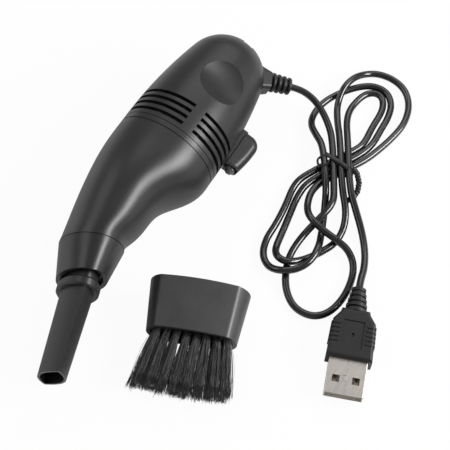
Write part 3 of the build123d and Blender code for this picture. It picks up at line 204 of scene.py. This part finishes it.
def cloth(name, tone):
    """Needled felt."""
    finish = Finish(name, Sheen_Weight=0.3)
    fibres = finish.noise(0.35 * MM, 6.0, 0.75)
    cloud = finish.noise(4 * MM, 3.0)
    dark = [c * 0.75 for c in colour(tone)[:3]]
    finish.feed(Base_Color=finish.ramp(fibres * 0.6 + cloud * 0.4, (0.3, dark), (0.7, tone)))
    finish.feed(Roughness=0.85 + fibres * 0.1)
    finish.bump(fibres, 150e-6)
    return finish.material


def wound(name, tone):
    """Lacquered wire laid side by side."""
    finish = Finish(name, Metallic=0.9, Coat_Weight=0.4)
    parts = finish.node("ShaderNodeSeparateXYZ", inputs={0: finish.place}, output="X")
    turns = (parts * (2 * pi / (0.35 * MM))).sine() * 0.5 + 0.5
    cloud = finish.noise(1.5 * MM)
    dark = [c * 0.45 for c in tone]
    finish.feed(Base_Color=finish.ramp(turns * 0.7 + cloud * 0.3, (0.2, dark), (0.8, tone)))
    finish.feed(Roughness=0.25 + cloud * 0.12)
    finish.bump(turns, 80e-6)
    return finish.material


def clear_dome(name):
    """The lamp's clear epoxy."""
    finish = Finish(name, Transmission_Weight=0.9, IOR=1.5)
    cloud = finish.noise(1.0 * MM)
    finish.feed(Base_Color=finish.ramp(cloud, (0.3, 0.8), (0.7, 0.95)))
    finish.feed(Roughness=0.04 + cloud * 0.05)
    return finish.material


def board_lacquer(name):
    """Green lacquer over copper tracks."""
    finish = Finish(name, Coat_Weight=0.5)
    weave = finish.noise(0.6 * MM, 2.0)
    tracks = finish.node("ShaderNodeTexBrick", inputs={
        "Vector": finish.place, "Scale": 260.0, "Color1": colour((0.01, 0.07, 0.025)),
        "Color2": colour((0.012, 0.085, 0.03)), "Mortar": colour((0.02, 0.14, 0.05)), "Mortar Size": 0.05,
    })
    finish.feed(Base_Color=tracks, Roughness=0.3 + weave * 0.15)
    finish.bump(weave, 15e-6)
    return finish.material


# Tones of the object, as linear values
HOUSING_TONE = 0.015
NOZZLE_TONE = 0.016
CORD_TONE = 0.006
PLUG_TONE = 0.008
BRUSH_TONE = 0.052
SHELL_TONE = (0.78, 0.73, 0.68)

HOUSING = moulded("housing_plastic", HOUSING_TONE, 0.38)
CHAMBER = moulded("chamber_plastic", HOUSING_TONE, 0.36)
NOZZLE = moulded("nozzle_plastic", NOZZLE_TONE, 0.44)
BRUSH_HEAD = moulded("brush_head_plastic", BRUSH_TONE, 0.38)
RELIEF = moulded("relief_rubber", 0.014, 0.4)
JACKET = moulded("cord_jacket", CORD_TONE, 0.24, grain=4e-6, Coat_Weight=0.6, Coat_Roughness=0.12)
PLUG = moulded("plug_rubber", PLUG_TONE, 0.46, grain=25e-6)
TIE = moulded("tie_sleeve", 0.012, 0.3)
KNOB = moulded("switch_plastic", 0.012, 0.45)
INNER = moulded("inner_plastic", 0.05, 0.5)
PALE = moulded("pale_plastic", (0.6, 0.58, 0.52), 0.45, mottle=0.06)
SLEEVE = moulded("wire_sleeve", (0.3, 0.02, 0.015), 0.35)
CARBON = moulded("carbon", 0.02, 0.7)
FERRITE = moulded("ferrite", 0.04, 0.65, grain=40e-6)
FELT = cloth("filter_felt", (0.75, 0.75, 0.72))
STEEL = metal("plated_steel", (0.55, 0.55, 0.55), 0.3)
CAN = metal("motor_can_steel", (0.5, 0.5, 0.5), 0.35)
SHELL = metal("plug_shell_metal", SHELL_TONE, 0.36)
BRASS = metal("contact_plating", (0.72, 0.64, 0.5), 0.28)
BRONZE = metal("bush_bronze", (0.45, 0.28, 0.13), 0.45)
COPPER = wound("lacquered_wire", (0.6, 0.22, 0.08))
DOME = clear_dome("lamp_epoxy")
BOARD = board_lacquer("board_lacquer")

NODE_FINISHES = {
    "housing_upper": HOUSING, "housing_lower": HOUSING, "housing_screws": STEEL, "dust_chamber": CHAMBER,
    "nose_cone": CHAMBER, "crevice_nozzle": NOZZLE, "filter_frame": INNER, "filter_cloth": FELT,
    "fan_shroud": INNER, "impeller": INNER, "motor_can": CAN, "motor_end_cap": PALE,
    "motor_terminals": BRASS, "motor_brushes": CARBON, "motor_magnets": FERRITE, "motor_shaft": STEEL,
    "motor_mount": INNER, "front_bush": BRONZE, "rear_bush": BRONZE, "rotor_core": CAN,
    "rotor_windings": COPPER, "commutator": BRASS, "lamp_hood": HOUSING, "lamp_led": DOME,
    "lamp_wires": SLEEVE, "switch_slider": KNOB, "switch_body": INNER, "circuit_board": BOARD,
    "supply_wires": SLEEVE, "strain_relief": RELIEF, "plug_overmould": PLUG, "plug_shell": SHELL,
    "plug_tongue": PALE, "plug_contacts": BRASS, "brush_cap": BRUSH_HEAD, "brush_block": BRUSH_HEAD,
}
for node, finish in NODE_FINISHES.items():
    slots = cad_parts[node].material_slots
    for slot in slots:
        slot.material = finish


# Cord: its route as the control points of one spline, in millimetres. Two sheets of strands
# cross under the tie, four over three, and loops fan out from them on both sides.

CORD = 2.4
WAIST = Vector((-21.5, 47.0, 0.0))
STRAND_PITCH = 2.58
STRAND_TURN = 30.0
STRAND_HALF = 9.5
SHEET_LOW = 1.9
SHEET_HIGH = 4.5
OVER_STRANDS = 4
UNDER_STRANDS = 3
# The height of the cord's middle where it lies on the table, short because the lists repeat it
T = 1.3


def strand(sheet, place, end=1.0):
    """A point on a strand of one of the two sheets, at a share of its half length."""
    turn = STRAND_TURN if sheet == "over" else -STRAND_TURN
    count = OVER_STRANDS if sheet == "over" else UNDER_STRANDS
    height = SHEET_HIGH if sheet == "over" else SHEET_LOW
    offset = (place - (count - 1) / 2) * STRAND_PITCH
    spot = WAIST + Vector((0, 0, height)) + heading(turn) * (end * STRAND_HALF)
    return tuple(spot + heading(turn + 90) * offset)


# Where the cord leaves the strain relief
EXIT = (-36.976, 19.584, 10.098)
LEAD = [EXIT, (-38.6, 22.6, 8.95), (-38.9, 27.6, 7.2), (-36.8, 32.6, 6.0), (-33.4, 37.1, 5.0)]
BIG_LOOP = [
    (-7.2, 53.3, 4.9), (-1.6, 52.5, 4.5), (4.0, 50.7, 2.4), (10.0, 49.6, T), (16.4, 49.8, T), (22.4, 51.9, T),
    (27.6, 55.2, T), (31.2, 60.2, T), (31.0, 66.4, T), (27.2, 70.4, T), (20.6, 72.0, T), (13.6, 71.5, T),
    (7.8, 69.4, T), (4.6, 65.4, 2.6), (4.2, 60.8, 4.3), (3.8, 56.0, 4.9), (3.0, 51.8, 5.8), (1.2, 48.4, 5.2),
    (-2.4, 46.0, 3.6), (-7.6, 44.5, 2.9), (-12.2, 44.9, 2.1),
]
OUTER_CORD_SIDE = [
    (-35.6, 56.2, T), (-42.6, 58.0, T), (-49.6, 58.9, T), (-57.0, 57.2, T), (-62.4, 53.0, T), (-64.5, 47.4, T),
    (-64.0, 41.4, T), (-60.8, 37.2, 1.9), (-55.4, 35.0, 4.3), (-49.6, 34.2, 4.4), (-43.8, 35.2, 2.2),
    (-37.8, 38.5, 2.4),
]
UPPER_NOZZLE_SIDE = [
    (-8.2, 57.8, 2.6), (-2.6, 60.2, T), (3.4, 60.6, T), (9.0, 58.2, T), (13.4, 55.4, T), (17.2, 53.0, 3.0),
    (19.6, 50.2, 4.2), (19.4, 47.0, 4.0), (16.4, 44.6, 1.9), (10.4, 43.6, T), (3.6, 42.5, T), (-5.0, 41.0, T),
]
MIDDLE_CORD_SIDE = [
    (-36.0, 53.3, T), (-42.8, 53.0, T), (-49.0, 52.9, T), (-54.6, 51.4, T), (-58.4, 47.6, T), (-58.4, 42.2, T),
    (-54.8, 37.4, T), (-49.4, 33.4, T), (-43.4, 30.4, T), (-37.2, 29.6, T), (-32.2, 31.0, 1.9), (-28.6, 34.9, 3.4),
    (-25.1, 39.7, 4.5),
]
LOWER_NOZZLE_SIDE = [
    (-6.4, 50.8, 1.5), (-0.8, 53.2, T), (4.4, 55.2, T), (9.4, 56.9, 4.2), (15.0, 57.3, 4.4), (19.8, 55.0, 4.0),
    (23.0, 51.0, 4.2), (23.4, 46.2, 2.2), (20.2, 42.0, T), (14.6, 40.1, T), (8.0, 40.2, T), (0.0, 39.4, T),
    (-8.0, 37.9, T),
]
INNER_CORD_SIDE = [
    (-35.4, 50.6, T), (-42.4, 49.9, T), (-49.2, 49.9, T), (-53.0, 48.9, T), (-55.7, 46.9, T), (-55.9, 43.9, T),
    (-53.6, 41.4, T), (-49.6, 40.2, T), (-44.4, 39.8, 1.5), (-38.8, 41.6, 2.6),
]
TAIL = [
    (-9.8, 60.3, 3.2), (-4.6, 65.6, 1.6), (1.6, 70.2, T), (7.8, 73.0, 2.4), (13.0, 74.1, 4.0), (16.0, 75.2, 4.0),
]


def cord_route():
    points = LEAD + [strand("over", 1, -1), strand("over", 1)]
    points += BIG_LOOP + [strand("under", 2, 0.7), strand("under", 2, -1)]
    points += OUTER_CORD_SIDE + [strand("over", 2, -1), strand("over", 2)]
    points += UPPER_NOZZLE_SIDE + [strand("under", 1, 1.15), strand("under", 1, -1)]
    points += MIDDLE_CORD_SIDE + [strand("over", 0)]
    points += LOWER_NOZZLE_SIDE + [strand("under", 0, 1.15), strand("under", 0, -1)]
    points += INNER_CORD_SIDE + [strand("over", 3, -1), strand("over", 3)] + TAIL
    return [at(*point) for point in points]


def smooth_curve(name, points, radius, finish, sides=8):
    """A round strand whose spline has these control points."""
    data = bpy.data.curves.new(name, "CURVE")
    data.dimensions = "3D"
    data.bevel_depth = radius
    data.bevel_resolution = sides // 2
    data.use_fill_caps = True
    spline = data.splines.new("NURBS")
    spline.points.add(len(points) - 1)
    for control, point in zip(spline.points, points):
        control.co = (*point, 1.0)
    spline.order_u = 3
    spline.use_endpoint_u = True
    spline.resolution_u = 10
    piece = bpy.data.objects.new(name, data)
    bpy.context.scene.collection.objects.link(piece)
    data.materials.append(finish)
    return piece


def put_cord():
    cord = smooth_curve("cord", cord_route(), CORD / 2 * MM, JACKET, sides=12)
    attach(cord, "body")
    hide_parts("cord_lead", "cord_hank", "cord_tail")
    return cord


cord = put_cord()


# Twist tie: a flat band round the waist, a small loose loop, and two ends twisted together

TIE_HALF_Y = 6.15
TIE_LOW = 0.6
TIE_HIGH = 5.8
TIE_WIRE = 0.55
TIE_LOOP_WIRE = 0.4
# The band's width and thickness, how far it leans, and how square its round is
TIE_BAND = (1.6, 0.45)
TIE_LEAN = 0.9
TIE_SQUARENESS = 0.7
TIE_BAND_STEPS = 64
TWIST_STEPS = 44
STEPS_PER_TWIST = 6
TIE_LOOP = [
    (-21.4, 42.2, 5.6), (-20.6, 41.0, 4.9), (-19.2, 40.6, 4.5), (-17.8, 41.6, 4.5), (-17.2, 43.2, 5.0),
    (-18.2, 44.4, 5.9), (-19.2, 45.0, 6.3),
]
TIE_TWIST = [
    (-22.4, 52.6, 4.6), (-21.6, 54.6, 4.0), (-19.6, 56.6, 2.8), (-16.9, 57.6, 1.9), (-14.0, 57.4, 1.4),
    (-11.8, 56.0, 1.3),
]


def strip(name, path, normals, width, thick, finish):
    """A flat strip with rounded edges along a path, its face towards the normals."""
    outline = [
        (-0.5, -0.25), (-0.35, -0.5), (0.35, -0.5), (0.5, -0.25), (0.5, 0.25), (0.35, 0.5), (-0.35, 0.5), (-0.5, 0.25),
    ]
    vertices, faces = [], []
    count = len(path)
    for index, (spot, normal) in enumerate(zip(path, normals)):
        along = (path[min(index + 1, count - 1)] - path[max(index - 1, 0)]).normalized()
        side = along.cross(normal).normalized()
        out = side.cross(along).normalized()
        vertices += [spot + side * (x * width) + out * (y * thick) for x, y in outline]
    sides = len(outline)
    for ring in range(count - 1):
        for edge in range(sides):
            a, b = ring * sides + edge, ring * sides + (edge + 1) % sides
            faces.append((a, b, b + sides, a + sides))
    faces.append(tuple(reversed(range(sides))))
    faces.append(tuple(range((count - 1) * sides, count * sides)))
    return mesh_piece(name, vertices, faces, finish)


def mesh_piece(name, vertices, faces, finish, smooth=True):
    data = bpy.data.meshes.new(name)
    data.from_pydata([tuple(v) for v in vertices], [], faces)
    data.update()
    data.materials.append(finish)
    if smooth:
        for polygon in data.polygons:
            polygon.use_smooth = True
    piece = bpy.data.objects.new(name, data)
    bpy.context.scene.collection.objects.link(piece)
    return piece


def put_tie():
    middle = (TIE_LOW + TIE_HIGH) / 2
    half_z = (TIE_HIGH - TIE_LOW) / 2
    band_width, band_thick = TIE_BAND
    lowest = TIE_LOW - band_thick / 2
    path, normals = [], []
    for step in range(TIE_BAND_STEPS + 1):
        angle = 2 * pi * step / TIE_BAND_STEPS
        y, z = cos(angle), sin(angle)
        flat = abs(y) ** TIE_SQUARENESS * (1 if y > 0 else -1) * (TIE_HALF_Y + band_thick / 2)
        high = abs(z) ** TIE_SQUARENESS * (1 if z > 0 else -1) * (half_z + band_thick / 2)
        path.append(at(WAIST.x + TIE_LEAN * y, WAIST.y + flat, max(middle + high, lowest)))
        normals.append(Vector((0.0, y * half_z, z * TIE_HALF_Y)).normalized())
    band = strip("tie_band", path, normals, band_width * MM, band_thick * MM, TIE)
    twist = [Vector(spot) for spot in TIE_TWIST]
    loose = [at(*spot) for spot in TIE_LOOP]
    strands = [smooth_curve("tie_loop", loose, TIE_LOOP_WIRE * MM, TIE)]
    for side in (0, 1):
        points = []
        for step in range(TWIST_STEPS + 1):
            share = step / TWIST_STEPS * (len(twist) - 1)
            index = min(int(share), len(twist) - 2)
            spot = twist[index].lerp(twist[index + 1], share - index)
            way = (twist[index + 1] - twist[index]).normalized()
            across = way.cross(Vector((0, 0, 1))).normalized()
            up = across.cross(way)
            turn = 2 * pi * step / STEPS_PER_TWIST + side * pi
            points.append(at(*(spot + (across * cos(turn) + up * sin(turn)) * TIE_WIRE)))
        strands.append(smooth_curve("tie_end_%d" % (side + 1), points, TIE_WIRE * MM, TIE))
    for piece in [band] + strands:
        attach(piece, "body")
        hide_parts("twist_tie")
    return [band] + strands


tie_pieces = put_tie()


# Bristles: two rows of tufts that fan out and end unevenly

BRUSH_MIDDLE = Vector((43.6, 33.0, 0.0))
BRUSH_TURN = 21.2
BRUSH_RIM_HEIGHT = 8.3
BRUSH_FALL = 1.4 / 16.1
BED_END = 14.8
BRISTLE_LENGTH = 18.9
TUFTS = 8
TUFT_PITCH = 3.0
TUFT_ROW = 3.1
TUFT_STAGGER = 0.45
TUFT_RADIUS = 0.85
STRANDS_IN_TUFT = 170
STRAND_WIDTH = 0.16
# The least height of a strand's middle over the table
LOWEST = 0.25
STRAND_STEPS = 7
STRAND_CORNERS = 3
STRAND_TAPER = 0.35
TIP_FAN = 1.3
TIP_DRIFT = (-0.8, -1.6)
TIP_ROW = 2.5
TIP_SPREAD = 2.3
ROOT_RISE = 0.2


def brush_place(along, across, up):
    spot = BRUSH_MIDDLE + heading(BRUSH_TURN) * along + heading(BRUSH_TURN + 90) * across
    return at(spot.x, spot.y, max(BRUSH_RIM_HEIGHT - BRUSH_FALL * along + up, LOWEST))


def bristle_finish():
    """Black nylon with a little shader sheen: each filament a little different in tone, and the lightest filaments
    coloured light grey as painted highlights.
    """
    finish = Finish("nylon_bristles_with_painted_highlights", Sheen_Weight=0.15, Coat_Weight=0.2)
    island = finish.node("ShaderNodeNewGeometry", output="Random Per Island")
    cloud = finish.noise(2 * MM)
    shade = island * 0.8 + cloud * 0.2
    # Painted highlight: the top stops of this ramp make some filaments far lighter than black nylon, in place of light
    # glinting along them.
    finish.feed(Base_Color=finish.ramp(shade, (0.0, 0.002), (0.6, 0.012), (0.82, 0.08), (1.0, 0.36)))
    finish.feed(Roughness=0.28 + island * 0.2)
    return finish.material


def put_bristles():
    dice = Random(7)
    vertices, faces = [], []
    finish = bristle_finish()

    def add_strand(points, width):
        start = len(vertices)
        for index, point in enumerate(points):
            before, after = points[max(index - 1, 0)], points[min(index + 1, len(points) - 1)]
            way = (after - before).normalized()
            side = way.cross(Vector((0, 0, 1))).normalized()
            up = side.cross(way)
            thin = width * MM / 2 * (1 - STRAND_TAPER * index / (len(points) - 1))
            for corner in range(STRAND_CORNERS):
                angle = 2 * pi * corner / STRAND_CORNERS
                vertices.append(point + (side * cos(angle) + up * sin(angle)) * thin)
        for ring in range(len(points) - 1):
            for corner in range(STRAND_CORNERS):
                a = start + ring * STRAND_CORNERS + corner
                b = start + ring * STRAND_CORNERS + (corner + 1) % STRAND_CORNERS
                faces.append((a, b, b + STRAND_CORNERS, a + STRAND_CORNERS))
        faces.append((start + 2, start + 1, start))
        end = start + STRAND_CORNERS * (len(points) - 1)
        faces.append((end, end + 1, end + 2))

    for row in (-1, 1):
        for tuft in range(TUFTS):
            across = (tuft - (TUFTS - 1) / 2) * TUFT_PITCH + row * TUFT_STAGGER
            lean = dice.uniform(-0.5, 0.5)
            for strand in range(STRANDS_IN_TUFT):
                away = TUFT_RADIUS * sqrt(dice.random())
                angle = dice.uniform(0, 2 * pi)
                x, y = away * cos(angle), away * sin(angle)
                spread = TIP_SPREAD + dice.gauss(0, 0.35)
                tip_x = across * TIP_FAN + TIP_DRIFT[0] + lean + x * spread + dice.gauss(0, 0.35)
                tip_y = row * TIP_ROW + TIP_DRIFT[1] + y * spread + dice.gauss(0, 0.25)
                reach = BRISTLE_LENGTH + dice.gauss(-0.5, 0.45) - 0.05 * abs(tip_x)
                bend = dice.gauss(0, 0.35)
                sag = dice.gauss(0, 0.3)
                points = []
                for step in range(STRAND_STEPS + 1):
                    t = step / STRAND_STEPS
                    ease = t ** 0.75
                    bow = 4 * t * (1 - t)
                    points.append(brush_place(
                        BED_END + ROOT_RISE + t * reach,
                        across + x + (tip_x - across - x) * ease + bend * bow,
                        row * TUFT_ROW + y + (tip_y - row * TUFT_ROW - y) * ease + sag * bow,
                    ))
                add_strand(points, STRAND_WIDTH * dice.uniform(0.8, 1.2))
    bristles = mesh_piece("bristles", vertices, faces, finish)
    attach(bristles, "brush")
    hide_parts("brush_bristles")


put_bristles()


# Floor, world and lamps

FLOOR_HALF = 3.0
FLOOR_DROP = 0.0002
PAPER_TONE = 0.8
# How much of the floor's glow the camera sees; the rest shows the object's shadow
GLOW_SHARE = 0.95
LIT_TONE = 0.30


def put_floor():
    half = FLOOR_HALF
    corners = [(-half, -half, 0), (half, -half, 0), (half, half, 0), (-half, half, 0)]
    material = bpy.data.materials.new("floor_paper")
    nodes = Nodes(material)
    paper = nodes.node("ShaderNodeBsdfDiffuse", inputs={"Color": colour(PAPER_TONE)})
    glow = nodes.node("ShaderNodeEmission", inputs={"Strength": 1.0})
    seen = nodes.node("ShaderNodeLightPath", output="Is Camera Ray")
    through = nodes.node("ShaderNodeLightPath", output="Is Transmission Ray")
    share = seen.most(through) * GLOW_SHARE
    mix = nodes.node("ShaderNodeMixShader", inputs={0: share, 1: paper, 2: glow})
    nodes.node("ShaderNodeOutputMaterial", inputs={"Surface": mix})
    floor = mesh_piece("floor", corners, [(0, 1, 2, 3)], material, smooth=False)
    floor.location.z = -FLOOR_DROP


def put_world():
    world = bpy.data.worlds.new("studio")
    bpy.context.scene.world = world
    nodes = Nodes(world)
    lit = nodes.node("ShaderNodeBackground", inputs={"Color": colour(LIT_TONE)})
    seen = nodes.node("ShaderNodeBackground", inputs={"Color": colour(1.0)})
    camera_ray = nodes.node("ShaderNodeLightPath", output="Is Camera Ray")
    mix = nodes.node("ShaderNodeMixShader", inputs={0: camera_ray, 1: lit, 2: seen})
    nodes.node("ShaderNodeOutputWorld", inputs={"Surface": mix})


LAMP_AIM = Vector((0.0, 0.0, 0.01))


def soft_lamp(name, place, size, power):
    """A rectangular lamp at a place in metres, turned to the object."""
    data = bpy.data.lights.new(name, "AREA")
    data.shape = "RECTANGLE"
    data.size, data.size_y = size
    data.energy = power
    lamp = bpy.data.objects.new(name, data)
    bpy.context.scene.collection.objects.link(lamp)
    lamp.location = place
    lamp.rotation_euler = (LAMP_AIM - Vector(place)).to_track_quat("-Z", "Y").to_euler()


bpy.context.scene.view_settings.view_transform = "Standard"
put_floor()
put_world()
soft_lamp("right_box", (-0.20, 0.50, 0.36), (0.34, 0.22), 4.2)
soft_lamp("left_box", (0.10, -0.55, 0.45), (0.6, 0.4), 1.1)
soft_lamp("rear_box", (-0.50, -0.10, 0.50), (0.6, 0.4), 1.2)
